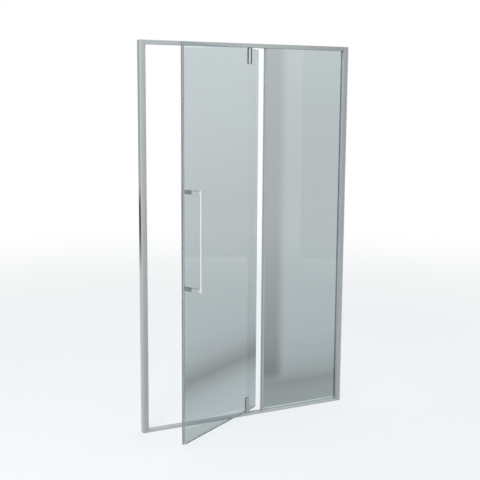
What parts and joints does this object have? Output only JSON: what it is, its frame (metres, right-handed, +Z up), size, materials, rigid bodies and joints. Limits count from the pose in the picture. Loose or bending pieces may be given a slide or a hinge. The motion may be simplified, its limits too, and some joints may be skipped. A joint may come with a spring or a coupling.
{
  "type": "pivot shower door",
  "caption": "Framed pivot shower door: glass leaf on top and bottom pivots, fixed glass side light, slim closing post and a pull handle on both faces.",
  "frame": {"origin": "middle of the sill rail's underside, midway between the walls and midway through the frame's depth", "axes": "+X to the right seen from outside, +Y into the shower, +Z up; at rest the leaf stands open outwards by 29.7 degrees"},
  "size_m": [1.17, 0.3363, 1.95],
  "materials": {
    "channel_aluminium": "satin anodised",
    "frame_aluminium": "satin anodised",
    "grey_plastic": "matt",
    "glazing_gasket": "matt",
    "clear_glass": "clear, polished edges",
    "clear_seal": "clear, soft",
    "magnet_strip": "matt",
    "bush_plastic": "matt",
    "steel": "plain",
    "chrome": "polished",
    "clear_washer": "clear"
  },
  "bodies": {
    "frame": {"wall_channel_left": "channel_aluminium", "wall_channel_right": "channel_aluminium", "jamb_left": "frame_aluminium", "jamb_right": "frame_aluminium", "jamb_cap_left": "grey_plastic", "jamb_cap_right": "grey_plastic", "head_rail": "frame_aluminium", "sill_rail": "frame_aluminium", "head_infill": "grey_plastic", "sill_infill": "grey_plastic", "corner_screws": "steel", "jamb_lock_screws": "steel", "lock_screw_caps": "chrome", "closing_post": "frame_aluminium", "post_screws": "steel", "tail_seal": "clear_seal", "side_light_glass": "clear_glass", "gasket_jamb": "glazing_gasket", "gasket_post": "glazing_gasket", "gasket_head": "glazing_gasket", "gasket_sill": "glazing_gasket", "strike_seal": "clear_seal", "strike_magnet": "magnet_strip", "pivot_block_low": "bush_plastic", "pivot_block_high": "bush_plastic", "block_screws": "steel", "thrust_washer": "bush_plastic"},
    "leaf": {"door_glass": "clear_glass", "hinge_body_low": "chrome", "hinge_cover_low": "chrome", "hinge_liners_low": "clear_washer", "pivot_pin_low": "steel", "hinge_body_high": "chrome", "hinge_cover_high": "chrome", "hinge_liners_high": "clear_washer", "pivot_pin_high": "steel", "clamp_screws": "steel", "edge_seal": "clear_seal", "edge_magnet": "magnet_strip", "drip_seal": "clear_seal", "handle_outer": "chrome", "handle_inner": "chrome", "handle_studs": "steel", "handle_sleeves": "clear_washer", "handle_washers": "clear_washer", "handle_grub_screws": "steel"}
  },
  "joints": [
    {"name": "door_swing", "type": "hinge", "parent": "frame", "child": "leaf", "pos_m": [0.0065, 0, 0.012], "axis": [0, 0, 1], "range_deg": [-29.7, 60.3]}
  ]
}
